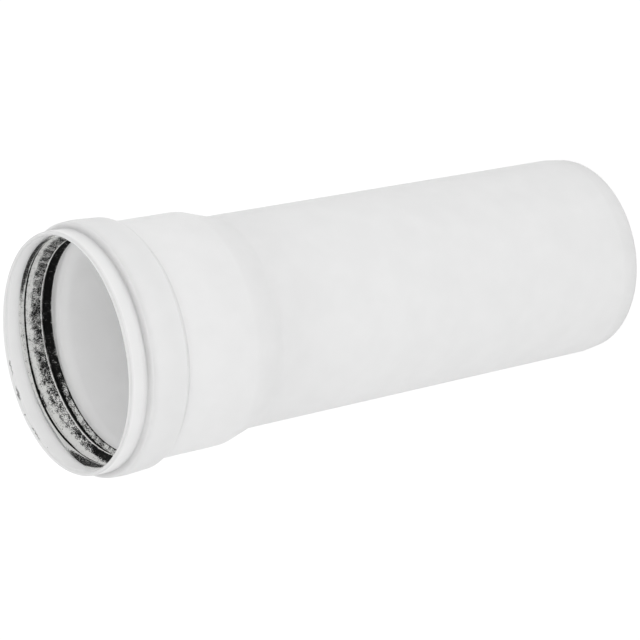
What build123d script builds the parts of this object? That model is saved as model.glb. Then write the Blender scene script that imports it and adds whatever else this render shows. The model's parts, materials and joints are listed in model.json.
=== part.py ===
from build123d import *
import os

os.makedirs("parts", exist_ok=True)

# A white plastic flue pipe that pushes into the next one. The pipe is one formed piece: a plain
# spigot at one end and a socket at the other. A black rubber ring sits in the socket's groove.
# The pipe stands on its spigot end with the socket's mouth on top, so +Z runs along its axis.
# All sizes are in millimetres. A depth is measured down from the rim of the mouth.

# The plain pipe and its spigot
pipe_diameter = 110.0
pipe_wall = 3.4
overall_length = 333.0
spigot_chamfer_length = 10.0
spigot_chamfer_drop = 1.2

# The lip in front of the seal's groove, with a bevel round each edge of its rim
lip_outer_radius = 60.6
lip_bore_radius = 58.3
lip_length = 9.6
rim_bevel_length = 1.6
rim_bevel_drop = 0.8

# The bead, a ring swelled out of the wall, which holds the seal
bead_front_depth = 11.2
bead_front_radius = 63.6
bead_crown_depth = 17.0
bead_crown_radius = 64.1
bead_rear_depth = 30.4
bead_rear_radius = 63.3
bead_foot_depth = 33.3
bead_front_round = 1.2
bead_rear_round = 2.0

# The groove inside the bead
groove_radius = 60.9
groove_mouth_depth = 10.0
groove_front_depth = 11.9
groove_rear_depth = 29.2

# The sleeve that takes the next pipe's spigot, with a two-step shoulder in front of its bore, and
# the taper down to the plain pipe
sleeve_front_radius = 60.15
sleeve_rear_radius = 60.0
sleeve_bore_radius = 55.5
sleeve_bore_front_depth = 36.0
shoulder_radius = 57.4
shoulder_depth = 31.9
taper_front_depth = 74.0
taper_rear_depth = 91.5
taper_bore_front_depth = 75.5
taper_bore_rear_depth = 93.0
taper_round = 10.0

# The rubber ring: a thin skirt that reaches forward inside the lip, a narrow groove behind it, a
# long flank up to the front lip, a deep valley, and the rear lip
seal_lip_radius = 55.3
seal_base_front_depth = 13.0
seal_base_rear_depth = 28.6
seal_skirt_root_depth = 10.9
seal_skirt_front_depth = 9.4
seal_skirt_outer_radius = 58.1
seal_skirt_inner_radius = 57.6
seal_skirt_rear_depth = 12.3
seal_slot_radius = 58.9
seal_slot_depth = 12.7
seal_flank_front_radius = 58.2
seal_flank_front_depth = 13.1
seal_front_lip_depth = 21.0
seal_lip_width = 0.4
seal_valley_radius = 57.9
seal_valley_depth = 23.6
seal_rear_lip_depth = 26.8
seal_heel_radius = 58.2

pipe_radius = pipe_diameter / 2
pipe_bore_radius = pipe_radius - pipe_wall
spigot_tip_radius = pipe_radius - spigot_chamfer_drop


def at(radius, depth):
    """A point of the section, from its radius and its depth below the rim."""
    return (radius, overall_length - depth)


def rounded(corners):
    """A closed section through the corners, each given as point and rounding radius."""
    with BuildSketch() as section:
        with BuildLine():
            Polyline(*[point for point, radius in corners], close=True)
        make_face()
        for point, radius in corners:
            if radius > 0:
                fillet(section.vertices().sort_by_distance(point)[0], radius)
    return section.sketch


def turned(section):
    """The ring that a section makes when it is turned once round the pipe's axis."""
    return revolve(Plane.XZ * section, axis=Axis.Z)


def pipe_section():
    """Half of the pipe cut lengthwise: down the outside, and back up the inside."""
    outside = [
        (at(lip_outer_radius - rim_bevel_drop, 0), 0),
        (at(lip_outer_radius, rim_bevel_length), 0),
        (at(lip_outer_radius, lip_length), 0),
        (at(bead_front_radius, bead_front_depth), bead_front_round),
        (at(bead_crown_radius, bead_crown_depth), 0),
        (at(bead_rear_radius, bead_rear_depth), bead_rear_round),
        (at(sleeve_front_radius, bead_foot_depth), 0),
        (at(sleeve_rear_radius, taper_front_depth), taper_round),
        (at(pipe_radius, taper_rear_depth), taper_round),
        ((pipe_radius, spigot_chamfer_length), 0),
        ((spigot_tip_radius, 0), 0),
    ]
    inside = [
        ((pipe_bore_radius, 0), 0),
        (at(pipe_bore_radius, taper_bore_rear_depth), 0),
        (at(sleeve_bore_radius, taper_bore_front_depth), 0),
        (at(sleeve_bore_radius, sleeve_bore_front_depth), 0),
        (at(shoulder_radius, shoulder_depth), 0),
        (at(groove_radius, groove_rear_depth), 0),
        (at(groove_radius, groove_front_depth), 0),
        (at(lip_bore_radius, groove_mouth_depth), 0),
        (at(lip_bore_radius, rim_bevel_length), 0),
        (at(lip_bore_radius + rim_bevel_drop, 0), 0),
    ]
    return rounded(outside + inside)


def seal_section():
    """The rubber ring's section: the back in the groove, then from the skirt to the rear lip."""
    half_lip = seal_lip_width / 2
    corners = [
        at(groove_radius, seal_base_rear_depth),
        at(groove_radius, seal_base_front_depth),
        at(seal_skirt_outer_radius, seal_skirt_root_depth),
        at(seal_skirt_outer_radius, seal_skirt_front_depth),
        at(seal_skirt_inner_radius, seal_skirt_rear_depth),
        at(seal_slot_radius, seal_slot_depth),
        at(seal_flank_front_radius, seal_flank_front_depth),
        at(seal_lip_radius, seal_front_lip_depth - half_lip),
        at(seal_lip_radius, seal_front_lip_depth + half_lip),
        at(seal_valley_radius, seal_valley_depth),
        at(seal_lip_radius, seal_rear_lip_depth - half_lip),
        at(seal_lip_radius, seal_rear_lip_depth + half_lip),
        at(seal_heel_radius, seal_base_rear_depth),
    ]
    return rounded([(corner, 0) for corner in corners])


pipe_body = turned(pipe_section())
lip_seal = turned(seal_section())

export_step(pipe_body, "parts/pipe_body.step")
export_step(lip_seal, "parts/lip_seal.step")

print("pipe volume in cm3", round(pipe_body.volume / 1000, 1))
print("seal volume in cm3", round(lip_seal.volume / 1000, 1))
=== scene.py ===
import json
import math

import bpy
from mathutils import Matrix, Vector


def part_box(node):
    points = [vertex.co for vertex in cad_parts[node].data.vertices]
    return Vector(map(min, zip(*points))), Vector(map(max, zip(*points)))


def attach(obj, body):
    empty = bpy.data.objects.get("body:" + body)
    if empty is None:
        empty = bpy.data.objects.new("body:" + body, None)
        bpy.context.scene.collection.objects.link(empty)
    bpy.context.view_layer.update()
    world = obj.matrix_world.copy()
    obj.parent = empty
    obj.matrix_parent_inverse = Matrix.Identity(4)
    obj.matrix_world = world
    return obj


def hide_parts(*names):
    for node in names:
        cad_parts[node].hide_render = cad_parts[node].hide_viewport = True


bl_info = {
    "name": "White Flue Pipe",
    "version": (1, 0, 0),
    "blender": (4, 5, 0),
    "location": "3D View > Sidebar > Flue Pipe",
    "description": "A white plastic flue pipe with a push-fit socket and its black rubber ring",
    "category": "Object",
}

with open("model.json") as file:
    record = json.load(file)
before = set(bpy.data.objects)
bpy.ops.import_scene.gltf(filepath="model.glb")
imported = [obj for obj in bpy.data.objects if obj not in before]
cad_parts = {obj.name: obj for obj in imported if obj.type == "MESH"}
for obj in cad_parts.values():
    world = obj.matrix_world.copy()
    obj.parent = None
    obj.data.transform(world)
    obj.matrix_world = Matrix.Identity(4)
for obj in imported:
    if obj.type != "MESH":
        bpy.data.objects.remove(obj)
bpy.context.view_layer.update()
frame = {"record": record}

MM = 0.001
MOUNTS = {mount["name"]: mount for mount in frame["record"]["mounts"]}
PIPE_RADIUS = MOUNTS["spigot"]["dims"]["r_mm"] * MM
SOCKET_BORE_RADIUS = MOUNTS["socket"]["dims"]["r_mm"] * MM
PIPE_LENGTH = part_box("pipe_body")[1].z

# Faces round each ring: a white pipe shows its corners first at the silhouette. Both numbers
# divide by the sectors, because a ring is turned as one sector and copied round.
PIPE_STEPS = 384
SEAL_STEPS = 512
SECTORS = 16

# A rounded corner has one facet for each arc step. An edge that turns by more than the sharp
# angle is shaded sharp.
ARC_STEP = math.radians(9)
FEWEST_FACETS = 3
SHARP_ANGLE = math.radians(28)

# Vertices this near to a place are selected there, and those this near to each other are merged.
SELECT_DISTANCE = 0.02 * MM
MERGE_DISTANCE = 0.002 * MM

# Levels by depth, in mm below the rim. The plastic's first: how grey its skin is at the cut rim,
# partly as painted shade, and how dark the painted shade on the bead's front step is; where the
# lip's forming lines show; how dark the painted shade in the corner behind the bead is; how much
# light scatters in the wall, and how much less where the bead is thick.
GREY_RIM_AND_PAINTED_SHADE = [(0, 0.36), (1.1, 0.34), (2.0, 0), (9.8, 0), (10.4, 0.06), (14, 0)]
FORMING_LINES = [(0, 1), (9.4, 1), (10.4, 0.1), (333, 0.1)]
PAINTED_CREASE_SHADE = [(33.0, 0), (33.25, 0.15), (33.45, 0.15), (33.9, 0)]
SCATTER = [(75, 1), (130, 0.2), (333, 0.1)]
THICK_BEAD = [(11.5, 0), (14, 0.75), (32, 0.75), (34, 0)]

# The powder on the rubber: skirt, bare slot, flank, front lip, bare valley, rear lip and heel.
# The bright band on the front lip's crest, about 20.7 to 21.2 mm deep, is painted highlight as
# well as powder.
HIGH_SIDE_POWDER_AND_HIGHLIGHT = [
    (4, 0.75),
    (11.4, 0.8),
    (11.9, 0.95),
    (12.1, 0),
    (13.2, 0),
    (13.5, 0.85),
    (15.4, 0.78),
    (16.6, 0.4),
    (20.4, 0.26),
    (20.7, 0.75),
    (21.1, 0.7),
    (21.4, 0.4),
    (22.6, 0.36),
    (23.1, 0),
    (26.3, 0),
    (26.7, 0.3),
    (27.2, 0.1),
    (27.4, 1),
    (29, 1),
]
LOW_SIDE_POWDER_AND_HIGHLIGHT = [
    (4, 0.8),
    (11.0, 0.9),
    (12.0, 0.95),
    (12.2, 0),
    (13.2, 0),
    (13.5, 0.85),
    (16.2, 0.78),
    (17.0, 0.5),
    (20.3, 0.4),
    (20.7, 1),
    (21.2, 1),
    (21.45, 0),
    (24.0, 0),
    (24.5, 0.6),
    (26.2, 0.55),
    (26.6, 0),
    (27.2, 0),
    (29, 1),
]

# Spots on the surface: the angle round the axis in degrees, the depth in mm, half the spot's
# width in degrees, and half its depth in mm.
NICKS = [
    (91.0, 1.0, 3.6, 0.2),
    (104.2, 1.1, 3.4, 0.45),
    (115.8, 0.5, 0.5, 0.4),
    (127.5, 1.0, 4.2, 0.22),
    (138.5, 1.8, 0.4, 0.3),
]
POWDER_STREAK = [(31.5, 21.0, 4.0, 0.5)]
BARE_SPOTS = [
    (106.0, 13.4, 1.4, 0.8),
    (111.5, 14.2, 3.5, 0.6),
    (114.5, 13.3, 0.7, 0.5),
    (161.0, 9.0, 17.0, 3.2),
    (28.0, 10.4, 26.0, 1.6),
]
THIN_WEDGE = [(152.0, 19.6, 3.0, 1.3), (158.0, 18.9, 5.5, 1.9), (167.0, 17.6, 7.0, 2.6)]

# The squared distance from a spot's middle, in half widths, up to which it is full, and from
# which nothing of it is left
SPOT_FULL = 0.6
SPOT_END = 1.6

# The two softboxes: place and width in metres
CEILING_SOFTBOX = ((0, 0, 1.75), 3.2)
FRONT_SOFTBOX = ((0.1, -1.5, 1.35), 1.2)

# How bright the sky is where the satin skin mirrors it, as a share: an even white sky would
# otherwise shine in the pipe's edges, which stand out grey against the background
MIRRORED_SKY = 0.15

# The floor's width in metres, which fills every view
FLOOR_WIDTH = 12

# The photograph's view: its directions, and where the mouth's middle lies in the view, counted
# in the pipe's radii
VIEW_FORWARD = (0, 0.8181, -0.5751)
VIEW_RIGHT = (-0.1984, -0.5637, -0.8018)
MOUTH_RIGHT = -2.26805
MOUTH_DOWN = 0.30626
MOUTH_AWAY = 20.82258
VIEW_LENS = 132.37
VIEW_SENSOR = 36


# Shapes


def clear_selection():
    """Leaves edit mode and deselects everything, the imported nodes included."""
    if bpy.context.object and bpy.context.object.mode != "OBJECT":
        bpy.ops.object.mode_set(mode="OBJECT")
    bpy.ops.object.select_all(action="DESELECT")


def draw_section(name, corners):
    """A mesh that is one closed section in the XZ plane.

    A small plane is merged to a point, which is then extruded from corner to corner. A corner is
    its radius, its height, and the radius of its rounding.
    """
    clear_selection()
    bpy.ops.mesh.primitive_plane_add(size=MM, location=(0, 0, 0))
    piece = bpy.context.object
    piece.name = piece.data.name = name
    bpy.ops.object.mode_set(mode="EDIT")
    bpy.ops.mesh.select_all(action="SELECT")
    bpy.ops.mesh.merge(type="CENTER")
    first_radius, first_height, _ = corners[0]
    bpy.ops.transform.translate(value=(first_radius, 0, first_height))
    for (radius, height, _), (next_radius, next_height, _) in zip(corners, corners[1:]):
        step = (next_radius - radius, 0, next_height - height)
        bpy.ops.mesh.extrude_vertices_move(TRANSFORM_OT_translate={"value": step})
    bpy.ops.mesh.select_all(action="DESELECT")
    select_near(piece, [corners[0][:2], corners[-1][:2]])
    bpy.ops.mesh.edge_face_add()
    return piece


def select_near(piece, places):
    """Selects the section's vertices at the given places, each a radius and a height."""
    bpy.ops.object.mode_set(mode="OBJECT")
    for vertex in piece.data.vertices:
        here = Vector((vertex.co.x, vertex.co.z))
        vertex.select = any((here - Vector(place)).length < SELECT_DISTANCE for place in places)
    bpy.ops.object.mode_set(mode="EDIT")


def round_corners(piece, corners):
    """Bevels each corner of the section that has a rounding, so that the arc has that radius."""
    bpy.ops.mesh.select_mode(type="VERT")
    count = len(corners)
    for index, (radius, height, rounding) in enumerate(corners):
        if rounding <= 0:
            continue
        here = Vector((radius, height))
        before = (Vector(corners[index - 1][:2]) - here).normalized()
        after = (Vector(corners[(index + 1) % count][:2]) - here).normalized()
        turn = math.pi - before.angle(after)
        bpy.ops.mesh.select_all(action="DESELECT")
        select_near(piece, [(radius, height)])
        bpy.ops.mesh.bevel(
            offset=rounding * math.tan(turn / 2),
            offset_type="OFFSET",
            segments=max(FEWEST_FACETS, round(turn / ARC_STEP)),
            affect="VERTICES",
        )


def spin_section(piece, steps):
    """Turns the section round the pipe's axis, closes the seams and turns the faces outwards.

    One sector is spun, and is then copied round by doubling, which is much quicker than one spin.
    """
    centre = {"center_override": (0, 0, 0), "orient_axis": "Z"}
    bpy.ops.mesh.select_all(action="SELECT")
    bpy.ops.mesh.spin(
        steps=steps // SECTORS, angle=math.tau / SECTORS, center=(0, 0, 0), axis=(0, 0, 1)
    )
    sectors = 1
    while sectors < SECTORS:
        bpy.ops.mesh.select_all(action="SELECT")
        bpy.ops.mesh.duplicate()
        bpy.ops.transform.rotate(value=math.tau * sectors / SECTORS, **centre)
        sectors *= 2
    bpy.ops.mesh.select_all(action="SELECT")
    bpy.ops.mesh.remove_doubles(threshold=MERGE_DISTANCE)
    bpy.ops.mesh.normals_make_consistent(inside=False)
    bpy.ops.object.mode_set(mode="OBJECT")
    bpy.ops.object.shade_smooth_by_angle(angle=SHARP_ANGLE)


def turned_piece(name, corners, steps):
    """A ring turned from a rounded section."""
    piece = draw_section(name, corners)
    round_corners(piece, corners)
    spin_section(piece, steps)
    return piece


# Materials


def linear(colour):
    """The linear value of an sRGB hex colour, with its alpha."""
    parts = [int(colour[i : i + 2], 16) / 255 for i in (1, 3, 5)]
    return [c / 12.92 if c <= 0.04045 else ((c + 0.055) / 1.055) ** 2.4 for c in parts] + [1]


def add_node(tree, kind, settings=None, **inputs):
    """Adds a shader node with its settings and inputs.

    An input is a value, a socket to link from, or a node, which stands for its first output.
    Inputs are named in lower case with underscores, or in_0, in_1 by their order.
    """
    node = tree.nodes.new("ShaderNode" + kind)
    for key, value in (settings or {}).items():
        setattr(node, key, value)
    by_name = {socket.name.lower(): socket for socket in reversed(node.inputs)}
    for key, value in inputs.items():
        if key.startswith("in_"):
            socket = node.inputs[int(key[3:])]
        else:
            socket = by_name[key.replace("_", " ")]
        if isinstance(value, bpy.types.Node):
            value = value.outputs[0]
        if isinstance(value, bpy.types.NodeSocket):
            tree.links.new(value, socket)
        else:
            socket.default_value = value
    return node


def ring_places(tree, lean=0.0):
    """Where a point lies, in mm and degrees: its position, angle, radius and depth.

    A depth is measured down from the rim, along the axis of a ring that leans towards +X.
    """
    metres = add_node(tree, "TexCoord").outputs["Object"]
    place = add_node(tree, "VectorMath", {"operation": "SCALE"}, vector=metres, scale=1 / MM)
    x, y, z = add_node(tree, "SeparateXYZ", vector=place).outputs
    angle = add_node(tree, "Math", {"operation": "ARCTAN2"}, in_0=y, in_1=x)
    angle = add_node(tree, "Math", {"operation": "DEGREES"}, in_0=angle)
    flat = add_node(tree, "CombineXYZ", x=x, y=y)
    radius = add_node(tree, "VectorMath", {"operation": "LENGTH"}, vector=flat).outputs["Value"]
    rim = add_node(
        tree,
        "Math",
        {"operation": "MULTIPLY_ADD"},
        in_0=x,
        in_1=math.tan(lean),
        in_2=PIPE_LENGTH / MM,
    )
    depth = add_node(tree, "Math", {"operation": "SUBTRACT"}, in_0=rim, in_1=z)
    return place, angle, radius, depth


def mottle(tree, place, size, low=0.0, high=1.0):
    """Soft random patches about as wide as the size in mm, whose levels run from low to high."""
    texture = add_node(tree, "TexNoise", vector=place, scale=1 / size, detail=2.0)
    return add_node(
        tree, "MapRange", value=texture, from_min=0.3, from_max=0.7, to_min=low, to_max=high
    )


def by_depth(tree, depth, levels):
    """A level read from (depth, level) pairs, with straight lines between them."""
    first, last = levels[0][0], levels[-1][0]
    share = add_node(tree, "MapRange", value=depth, from_min=first, from_max=last)
    ramp = add_node(tree, "ValToRGB", fac=share)
    stops = ramp.color_ramp.elements
    while len(stops) < len(levels):
        stops.new(1.0)
    for stop, (here, level) in zip(stops, levels):
        stop.position = (here - first) / (last - first)
        stop.color = (level, level, level, 1)
    return ramp


def spots(tree, angle, depth, places, level=1.0):
    """The level inside each spot, fading to 0 outside."""
    here = add_node(tree, "CombineXYZ", x=angle, y=depth)
    total = 0.0
    for middle_angle, middle_depth, half_width, half_depth in places:
        middle = (middle_angle, middle_depth, 0)
        away = add_node(tree, "VectorMath", {"operation": "SUBTRACT"}, in_0=here, in_1=middle)
        half = (half_width, half_depth, 1)
        away = add_node(tree, "VectorMath", {"operation": "DIVIDE"}, in_0=away, in_1=half)
        square = add_node(tree, "VectorMath", {"operation": "DOT_PRODUCT"}, in_0=away, in_1=away)
        spot = add_node(
            tree,
            "MapRange",
            value=square.outputs["Value"],
            from_min=SPOT_END,
            from_max=SPOT_FULL,
            to_max=level,
        )
        total = add_node(tree, "Math", {"operation": "MAXIMUM"}, in_0=total, in_1=spot)
    return total


def new_material(name):
    """A node material with nothing in it yet, and its tree."""
    material = bpy.data.materials.new(name)
    material.use_nodes = True
    material.node_tree.nodes.clear()
    return material, material.node_tree


def give_material(piece, material):
    """Makes this the piece's only material."""
    piece.data.materials.clear()
    piece.data.materials.append(material)


def formed_white_polypropylene(settings):
    """Extruded and heat-formed white polypropylene: a satin skin that lets light into the wall.

    The light that scatters in the wall gives the eye the bright lip and the even, soft inside.
    The skin has faint blotches 16 mm wide, forming lines 0.9 mm apart round the lip, and a few
    nicks in the rim, whose edges are ragged by patches of 1.4 mm. Shade is painted into the
    colour too: a thin dark line in the corner behind the bead, a darker front step on the bead,
    and part of the cut rim's grey.
    """
    material, tree = new_material("formed_white_polypropylene")
    place, angle, radius, depth = ring_places(tree)
    mid_wall = settings.lip_bore / MM + 1
    outside = add_node(tree, "Math", {"operation": "GREATER_THAN"}, in_0=radius, in_1=mid_wall)
    inside = add_node(tree, "Math", {"operation": "LESS_THAN"}, in_0=radius, in_1=mid_wall)
    rings = add_node(tree, "CombineXYZ", z=depth)
    lines = mottle(tree, rings, 0.9, high=0.05)
    on_lip = by_depth(tree, depth, FORMING_LINES)
    ragged = mottle(tree, place, 1.4, low=-0.35, high=0.35)
    ragged_depth = add_node(tree, "Math", {"operation": "ADD"}, in_0=depth, in_1=ragged)
    nicks = spots(tree, angle, ragged_depth, NICKS, level=0.6)
    # Painted shade: a thin dark line in the corner behind the bead, on the outside only.
    painted_crease_shade = by_depth(tree, depth, PAINTED_CREASE_SHADE)
    # The cut rim is greyer, partly as painted shade, and the bead's front step is darkened as
    # painted shade; faint blotches are added on top.
    grey = add_node(
        tree,
        "Math",
        {"operation": "ADD"},
        in_0=by_depth(tree, depth, GREY_RIM_AND_PAINTED_SHADE),
        in_1=mottle(tree, place, 16, high=0.035),
    )
    for pattern, where in ((lines, on_lip), (nicks, inside), (painted_crease_shade, outside)):
        grey = add_node(
            tree,
            "Math",
            {"operation": "MULTIPLY_ADD", "use_clamp": True},
            in_0=pattern,
            in_1=where,
            in_2=grey,
        )
    colour = add_node(
        tree,
        "Mix",
        {"data_type": "RGBA"},
        in_0=grey,
        in_6=settings.colour,
        in_7=settings.marks_and_shade_colour,
    ).outputs[2]
    thick = add_node(
        tree,
        "Math",
        {"operation": "MULTIPLY"},
        in_0=by_depth(tree, depth, THICK_BEAD),
        in_1=outside,
    )
    scatter = add_node(
        tree,
        "Math",
        {"operation": "SUBTRACT"},
        in_0=by_depth(tree, depth, SCATTER),
        in_1=thick,
    )
    shader = add_node(
        tree,
        "BsdfPrincipled",
        base_color=colour,
        roughness=0.42,
        ior=1.49,
        subsurface_weight=scatter,
        subsurface_radius=(1, 1, 1),
        subsurface_scale=10 * MM,
    )
    add_node(tree, "OutputMaterial", surface=shader)
    return material


def dusted_black_rubber(settings):
    """Moulded black EPDM rubber, dusted with pale powder.

    The eye gets a grey, mottled flank with a bright crest, a black slot and a black valley. The
    crest's bright line is a painted highlight as well as powder. The low side of the ring is
    dusted more sharply, and its skirt is nearly bare. The powder's own grains are too fine to
    show, so they are drawn as clumps 0.5 mm wide in patches of 3.2 mm.
    """
    wedge_raggedness = 8.0
    least_bare = 0.4
    soft_edge, hard_edge = 1.9, 3.5
    material, tree = new_material("dusted_black_epdm_rubber")
    place, angle, _, depth = ring_places(tree, settings.lean)
    clumps = mottle(tree, place, 0.5, high=0.6)
    patches = mottle(tree, place, 3.2, high=0.4)
    speckle = add_node(tree, "Math", {"operation": "ADD"}, in_0=clumps, in_1=patches)
    depth = bent_depth(tree, angle, depth)
    x = add_node(tree, "SeparateXYZ", vector=place).outputs["X"]
    low_side = {"value": x, "from_min": 2, "from_max": -30}
    amount = add_node(
        tree,
        "Mix",
        in_0=add_node(tree, "MapRange", **low_side),
        in_2=by_depth(tree, depth, HIGH_SIDE_POWDER_AND_HIGHLIGHT),
        in_3=by_depth(tree, depth, LOW_SIDE_POWDER_AND_HIGHLIGHT),
    )
    streak = spots(tree, angle, depth, POWDER_STREAK)
    amount = add_node(tree, "Math", {"operation": "ADD"}, in_0=amount, in_1=streak)
    ragged_angle = add_node(
        tree,
        "Math",
        {"operation": "MULTIPLY_ADD"},
        in_0=patches,
        in_1=wedge_raggedness,
        in_2=angle,
    )
    thin = spots(tree, ragged_angle, depth, THIN_WEDGE, level=0.36)
    amount = add_node(tree, "Math", {"operation": "SUBTRACT"}, in_0=amount, in_1=thin)
    ragged_depth = add_node(tree, "Math", {"operation": "ADD"}, in_0=depth, in_1=patches)
    bare = spots(tree, angle, ragged_depth, BARE_SPOTS)
    patchy = add_node(tree, "Math", {"operation": "ADD"}, in_0=patches, in_1=least_bare)
    bare = add_node(tree, "Math", {"operation": "MULTIPLY"}, in_0=bare, in_1=patchy)
    amount = add_node(tree, "Math", {"operation": "SUBTRACT"}, in_0=amount, in_1=bare)
    # Powder, and the painted highlight on the front lip's crest, lie where amount and speckle
    # together are over 1. Their edges are harder on the low side.
    above = add_node(tree, "Math", {"operation": "ADD"}, in_0=amount, in_1=speckle)
    above = add_node(tree, "Math", {"operation": "SUBTRACT"}, in_0=above, in_1=1.0)
    cover = add_node(
        tree,
        "Math",
        {"operation": "MULTIPLY_ADD", "use_clamp": True},
        in_0=above,
        in_1=add_node(tree, "MapRange", to_min=soft_edge, to_max=hard_edge, **low_side),
        in_2=0.5,
    )
    colour = add_node(
        tree,
        "Mix",
        {"data_type": "RGBA"},
        in_0=cover,
        in_6=settings.colour,
        in_7=settings.powder_and_highlight_colour,
    ).outputs[2]
    shader = add_node(
        tree,
        "BsdfPrincipled",
        base_color=colour,
        roughness=0.6,
        ior=1.5,
        specular_ior_level=0.2,
        normal=add_node(tree, "Bump", strength=0.4, distance=0.15 * MM, height=speckle),
    )
    add_node(tree, "OutputMaterial", surface=shader)
    return material


def bent_depth(tree, angle, depth):
    """The depth for the powder's pattern, which is drawn forward in a bay round one angle.

    The bay is 1.9 mm deep in its middle at 118 degrees, ends 45 degrees to each side, and fades
    between 13 and 18 mm below the rim.
    """
    off = add_node(tree, "MapRange", {"clamp": False}, value=angle, from_min=118, from_max=163)
    square = add_node(tree, "Math", {"operation": "MULTIPLY"}, in_0=off, in_1=off)
    bay = add_node(
        tree, "Math", {"operation": "SUBTRACT", "use_clamp": True}, in_0=1.0, in_1=square
    )
    bay = add_node(tree, "Math", {"operation": "MULTIPLY"}, in_0=bay, in_1=bay)
    reach = add_node(tree, "MapRange", value=depth, from_min=18, from_max=13, to_max=1.9)
    return add_node(
        tree, "Math", {"operation": "MULTIPLY_ADD"}, in_0=bay, in_1=reach, in_2=depth
    )


# Sizes and colours that a user would change


def length_property(name, description, millimetres):
    """A length in metres, shown in the user's unit, from a default in millimetres."""
    return bpy.props.FloatProperty(
        name=name, description=description, default=millimetres * MM, unit="LENGTH", precision=5
    )


def colour_property(name, description, colour):
    """A colour whose default is an sRGB hex value."""
    return bpy.props.FloatVectorProperty(
        name=name, description=description, default=linear(colour), subtype="COLOR", size=4
    )


class PipeSizes(bpy.types.PropertyGroup):
    """The pipe's section. A depth is measured from the rim of the mouth."""

    wall: length_property("Wall", "Thickness of the plain pipe's wall", 3.4)
    lip_radius: length_property("Lip radius", "Outer radius of the lip at the mouth", 60.6)
    lip_bore: length_property("Lip bore", "Inner radius of the lip at the mouth", 58.3)
    lip_length: length_property("Lip length", "How far the lip stands in front of the bead", 9.6)
    bead_radius: length_property("Bead radius", "Largest radius of the bead", 64.1)
    bead_rear: length_property("Bead rear depth", "Depth of the bead's rear edge", 30.4)
    sleeve_radius: length_property("Sleeve radius", "Outer radius of the sleeve", 60.15)
    sleeve_end: length_property("Sleeve end depth", "Depth at which the taper starts", 74.0)
    taper_length: length_property("Taper length", "Length of the taper on the outside", 17.5)
    colour: colour_property("Colour", "The plastic's colour", "#F3F3F3")
    # Also the darkest grey of the painted shade in the corner behind the bead, at the rim and on
    # the bead's front step.
    marks_and_shade_colour: colour_property("Marks", "The darkest grey of nicks and lines", "#6E6E6E")


class SealSizes(bpy.types.PropertyGroup):
    """The rubber ring's section. A depth is measured from the rim of the mouth."""

    back_radius: length_property("Back radius", "Radius of the ring's back in the groove", 60.9)
    lip_radius: length_property("Lip radius", "Radius of the two lips", 55.3)
    skirt_depth: length_property("Skirt depth", "Depth of the skirt's front edge", 9.4)
    front_lip_depth: length_property("Front lip depth", "Depth of the front lip", 21.0)
    rear_lip_depth: length_property("Rear lip depth", "Depth of the rear lip", 26.8)
    lean: bpy.props.FloatProperty(
        name="Lean",
        description="How far the ring's lips stand askew in their groove",
        default=math.radians(2.75),
        unit="ROTATION",
    )
    droop: length_property(
        "Droop", "How far the skirt's lowest stretch reaches forward out of the groove", 4.5
    )
    colour: colour_property("Colour", "The bare rubber's colour", "#080808")
    # Also the colour of the painted highlight on the front lip's crest.
    powder_and_highlight_colour: colour_property("Powder", "The colour of the powder on it", "#ECECEA")


class StageSettings(bpy.types.PropertyGroup):
    """The light, the floor and the camera."""

    sky: bpy.props.FloatProperty(
        name="Sky", description="Strength of the even light all round", default=0.92, min=0
    )
    ceiling: bpy.props.FloatProperty(
        name="Ceiling", description="Brightness of the wide softbox overhead", default=0.1, min=0
    )
    front: bpy.props.FloatProperty(
        name="Front", description="Brightness of the softbox by the camera", default=0.85, min=0
    )


# Pieces


def at(radius, depth, rounding=0.0):
    """A corner of a section, from radius and depth in metres and its rounding in mm."""
    return (radius, PIPE_LENGTH - depth, rounding * MM)


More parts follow.
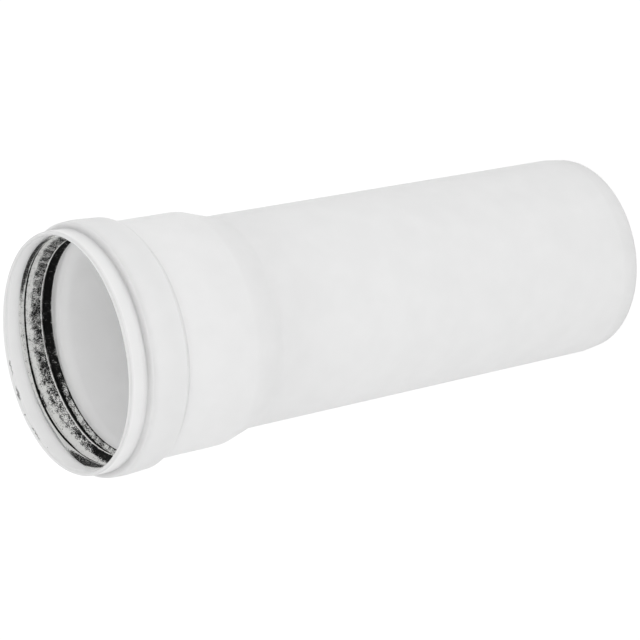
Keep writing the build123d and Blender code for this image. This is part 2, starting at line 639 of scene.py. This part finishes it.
class FLUEPIPE_OT_pipe_body(bpy.types.Operator):
    """Makes the white pipe with its socket"""

    bl_idname = "fluepipe.pipe_body"
    bl_label = "Pipe Body"

    def execute(self, context):
        sizes = context.scene.fluepipe_pipe
        pipe = turned_piece("pipe_shell", self.section(sizes), PIPE_STEPS)
        give_material(pipe, formed_white_polypropylene(sizes))
        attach(pipe, "root")
        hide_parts("pipe_body")
        return {"FINISHED"}

    def section(self, sizes):
        """The corners down the outside and back up the bore."""
        bevel_drop = 0.8 * MM
        bevel_end = 1.6 * MM
        lip = sizes.lip_radius
        lip_bore = sizes.lip_bore
        lip_end = sizes.lip_length
        bead_front = lip_end + 1.6 * MM
        bead_crown = lip_end + 7.4 * MM
        bead_foot = sizes.bead_rear + 2.9 * MM
        groove = lip_bore + 2.6 * MM
        groove_mouth = lip_end + 0.4 * MM
        groove_front = lip_end + 2.3 * MM
        groove_rear = sizes.bead_rear - 1.2 * MM
        shoulder = SOCKET_BORE_RADIUS + 1.9 * MM
        shoulder_front = bead_foot - 1.4 * MM
        shoulder_rear = bead_foot + 2.7 * MM
        taper_end = sizes.sleeve_end + sizes.taper_length
        taper_shift = 1.5 * MM
        bore = PIPE_RADIUS - sizes.wall
        chamfer_start = PIPE_LENGTH - 10 * MM
        chamfer_drop = 1.2 * MM
        outside = [
            at(lip - bevel_drop, 0, 0.3),
            at(lip, bevel_end, 0.8),
            at(lip, lip_end, 0.7),
            at(sizes.bead_radius - 0.5 * MM, bead_front, 1.2),
            at(sizes.bead_radius, bead_crown, 30),
            at(sizes.bead_radius - 0.8 * MM, sizes.bead_rear, 2.0),
            at(sizes.sleeve_radius, bead_foot, 0.5),
            at(sizes.sleeve_radius - 0.15 * MM, sizes.sleeve_end, 10),
            at(PIPE_RADIUS, taper_end, 10),
            at(PIPE_RADIUS, chamfer_start, 4),
            at(PIPE_RADIUS - chamfer_drop, PIPE_LENGTH, 0.4),
        ]
        inside = [
            at(bore, PIPE_LENGTH, 0.4),
            at(bore, taper_end + taper_shift, 6),
            at(SOCKET_BORE_RADIUS, sizes.sleeve_end + taper_shift, 6),
            at(SOCKET_BORE_RADIUS, shoulder_rear, 8),
            at(shoulder, shoulder_front, 4),
            at(groove, groove_rear, 0.5),
            at(groove, groove_front, 0.3),
            at(lip_bore, groove_mouth, 0.2),
            at(lip_bore, bevel_end, 0.6),
            at(lip_bore + bevel_drop, 0, 0.3),
        ]
        return outside + inside


class FLUEPIPE_OT_lip_seal(bpy.types.Operator):
    """Makes the black rubber ring in the socket"""

    bl_idname = "fluepipe.lip_seal"
    bl_label = "Lip Seal"

    def execute(self, context):
        sizes = context.scene.fluepipe_seal
        seal = turned_piece("seal_ring", self.section(sizes), SEAL_STEPS)
        self.seat(seal, sizes)
        give_material(seal, dusted_black_rubber(sizes))
        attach(seal, "root")
        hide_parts("lip_seal")
        return {"FINISHED"}

    def section(self, sizes):
        """The corners along the back, then from the skirt to the rear lip."""
        back = sizes.back_radius
        lip = sizes.lip_radius
        front = sizes.front_lip_depth
        rear = sizes.rear_lip_depth
        heel = rear + 1.8 * MM
        skirt = sizes.skirt_depth
        skirt_root = skirt + 1.5 * MM
        skirt_rear = skirt + 2.9 * MM
        skirt_outer = lip + 2.8 * MM
        skirt_inner = lip + 2.3 * MM
        slot = skirt + 3.3 * MM
        back_front = skirt + 3.6 * MM
        flank_front = skirt + 3.7 * MM
        flank_knee = skirt + 7.2 * MM
        valley = rear - 3.2 * MM
        return [
            at(back, heel),
            at(back, back_front),
            at(skirt_outer, skirt_root),
            at(skirt_outer, skirt, 0.15),
            at(skirt_inner, skirt, 0.15),
            at(skirt_inner, skirt_rear, 0.2),
            at(lip + 3.6 * MM, slot),
            at(lip + 2.9 * MM, flank_front, 0.3),
            at(lip + 2.1 * MM, flank_knee, 6),
            at(lip, front, 0.3),
            at(lip + 2.6 * MM, valley, 0.8),
            at(lip, rear, 0.3),
            at(lip + 2.9 * MM, heel, 0.3),
        ]

    def seat(self, seal, sizes):
        """Leans the soft side of the ring in its groove, and draws its skirt forward at -X."""
        clear_selection()
        bpy.context.view_layer.objects.active = seal
        seal.select_set(True)
        soft_side = sizes.back_radius - 0.5 * MM
        self.select_rings(seal, soft_side, 0)
        middle = PIPE_LENGTH - (sizes.skirt_depth + sizes.rear_lip_depth) / 2
        bpy.ops.transform.rotate(
            value=sizes.lean, orient_axis="Y", center_override=(0, 0, middle)
        )
        skirt_radius = sizes.lip_radius + 3 * MM
        skirt_edge = sizes.skirt_depth + 0.6 * MM
        self.select_rings(seal, skirt_radius, PIPE_LENGTH - skirt_edge, sizes.lean)
        bpy.ops.mesh.hide(unselected=True)
        bpy.ops.mesh.select_all(action="DESELECT")
        self.select_side(seal)
        bpy.ops.transform.translate(
            value=(0, 0, sizes.droop),
            use_proportional_edit=True,
            proportional_edit_falloff="SMOOTH",
            proportional_size=55 * MM,
        )
        bpy.ops.mesh.reveal(select=False)
        bpy.ops.object.mode_set(mode="OBJECT")

    def select_rings(self, seal, largest_radius, lowest, lean=0.0):
        """Selects what lies within a radius and above a height, measured before any lean."""
        bpy.ops.object.mode_set(mode="EDIT")
        bpy.ops.mesh.select_mode(type="VERT")
        bpy.ops.mesh.select_all(action="DESELECT")
        bpy.ops.object.mode_set(mode="OBJECT")
        for vertex in seal.data.vertices:
            x, y, z = vertex.co
            high = z - math.tan(lean) * x > lowest
            vertex.select = high and math.hypot(x, y) < largest_radius
        bpy.ops.object.mode_set(mode="EDIT")

    def select_side(self, seal):
        """Selects the few visible vertices that lie furthest towards -X."""
        bpy.ops.object.mode_set(mode="OBJECT")
        for vertex in seal.data.vertices:
            on_side = vertex.co.x < 0 and abs(vertex.co.y) < 1.0 * MM
            vertex.select = on_side and not vertex.hide
        bpy.ops.object.mode_set(mode="EDIT")


# Stage


def pale_floor():
    """A pale matt floor: plain white to the camera, with the pipe's soft shadow kept on it."""
    material, tree = new_material("pale_matt_floor")
    path = add_node(tree, "LightPath")
    matt = add_node(tree, "BsdfDiffuse", color=linear("#E6E6E6"))
    shaded = add_node(tree, "BsdfDiffuse", color=linear("#8A8A8A"))
    glow = add_node(tree, "Emission", color=linear("#FFFFFF"), strength=0.8)
    seen = add_node(tree, "AddShader", in_0=shaded, in_1=glow)
    mix = add_node(tree, "MixShader", in_0=path.outputs["Is Camera Ray"], in_1=matt, in_2=seen)
    add_node(tree, "OutputMaterial", surface=mix)
    return material


class FLUEPIPE_OT_stage(bpy.types.Operator):
    """Makes the floor, the light and the camera"""

    bl_idname = "fluepipe.stage"
    bl_label = "Stage"

    def execute(self, context):
        settings = context.scene.fluepipe_stage
        self.floor()
        self.sky(context, settings.sky)
        self.camera(context)
        self.softbox(context, "ceiling_softbox", CEILING_SOFTBOX, settings.ceiling)
        self.softbox(context, "front_softbox", FRONT_SOFTBOX, settings.front)
        return {"FINISHED"}

    def floor(self):
        """A wide floor under the pipe's spigot end."""
        clear_selection()
        bpy.ops.mesh.primitive_plane_add(size=FLOOR_WIDTH, location=(0, 0, 0))
        floor = bpy.context.object
        floor.name = "floor"
        give_material(floor, pale_floor())

    def sky(self, context, strength):
        """An even white sky: dimmer in the pipe's gloss, and plain white to the camera."""
        world = bpy.data.worlds.new("sky")
        context.scene.world = world
        world.use_nodes = True
        tree = world.node_tree
        tree.nodes.clear()
        path = add_node(tree, "LightPath")
        white = linear("#FFFFFF")
        light = add_node(tree, "Background", color=white, strength=strength)
        mirrored = add_node(tree, "Background", color=white, strength=MIRRORED_SKY * strength)
        seen = add_node(tree, "Background", color=white, strength=1.0)
        mix = add_node(
            tree, "MixShader", in_0=path.outputs["Is Glossy Ray"], in_1=light, in_2=mirrored
        )
        mix = add_node(
            tree, "MixShader", in_0=path.outputs["Is Camera Ray"], in_1=mix, in_2=seen
        )
        add_node(tree, "OutputWorld", surface=mix)

    def softbox(self, context, name, place_and_width, brightness):
        """A square soft light turned to the pipe's mouth, whose face has the given brightness."""
        place, width = place_and_width
        data = bpy.data.lights.new(name, "AREA")
        data.shape = "SQUARE"
        data.size = width
        data.energy = brightness * math.pi * width**2
        lamp = bpy.data.objects.new(name, data)
        context.collection.objects.link(lamp)
        lamp.location = place
        aim = Vector((0, 0, PIPE_LENGTH)) - lamp.location
        lamp.rotation_euler = aim.to_track_quat("-Z", "Y").to_euler()

    def camera(self, context):
        """The photograph's view: from the side and above, turned so that the pipe lies down."""
        data = bpy.data.cameras.new("camera")
        data.sensor_width = VIEW_SENSOR
        data.lens = VIEW_LENS
        data.clip_start = 0.05
        camera = bpy.data.objects.new("camera", data)
        context.collection.objects.link(camera)
        forward = Vector(VIEW_FORWARD).normalized()
        right = Vector(VIEW_RIGHT)
        right = (right - right.dot(forward) * forward).normalized()
        down = forward.cross(right)
        to_mouth = right * MOUTH_RIGHT + down * MOUTH_DOWN + forward * MOUTH_AWAY
        place = Vector((0, 0, PIPE_LENGTH)) - to_mouth * PIPE_RADIUS
        turn = Matrix((right, -down, -forward)).transposed()
        camera.matrix_world = Matrix.Translation(place) @ turn.to_4x4()
        context.scene.camera = camera
        context.scene.view_settings.view_transform = "Standard"


class FLUEPIPE_PT_panel(bpy.types.Panel):
    """Lists the pieces and their sizes in the sidebar"""

    bl_idname = "FLUEPIPE_PT_panel"
    bl_label = "Flue Pipe"
    bl_space_type = "VIEW_3D"
    bl_region_type = "UI"
    bl_category = "Flue Pipe"

    def draw(self, context):
        scene = context.scene
        for group in (scene.fluepipe_pipe, scene.fluepipe_seal, scene.fluepipe_stage):
            for name in group.bl_rna.properties.keys():
                if name not in {"rna_type", "name"}:
                    self.layout.prop(group, name)
        for operator in OPERATORS:
            self.layout.operator(operator.bl_idname)


GROUPS = {
    "fluepipe_pipe": PipeSizes,
    "fluepipe_seal": SealSizes,
    "fluepipe_stage": StageSettings,
}
OPERATORS = (FLUEPIPE_OT_pipe_body, FLUEPIPE_OT_lip_seal, FLUEPIPE_OT_stage)
CLASSES = (*GROUPS.values(), *OPERATORS, FLUEPIPE_PT_panel)


def register():
    """Registers the classes and gives each scene its sizes."""
    for cls in CLASSES:
        bpy.utils.register_class(cls)
    for name, group in GROUPS.items():
        setattr(bpy.types.Scene, name, bpy.props.PointerProperty(type=group))


def unregister():
    """Takes away what register added."""
    for name in GROUPS:
        delattr(bpy.types.Scene, name)
    for cls in reversed(CLASSES):
        bpy.utils.unregister_class(cls)


def main():
    """Makes the pieces and the stage."""
    register()
    bpy.ops.fluepipe.pipe_body()
    bpy.ops.fluepipe.lip_seal()
    bpy.ops.fluepipe.stage()


if __name__ == "__main__":
    main()
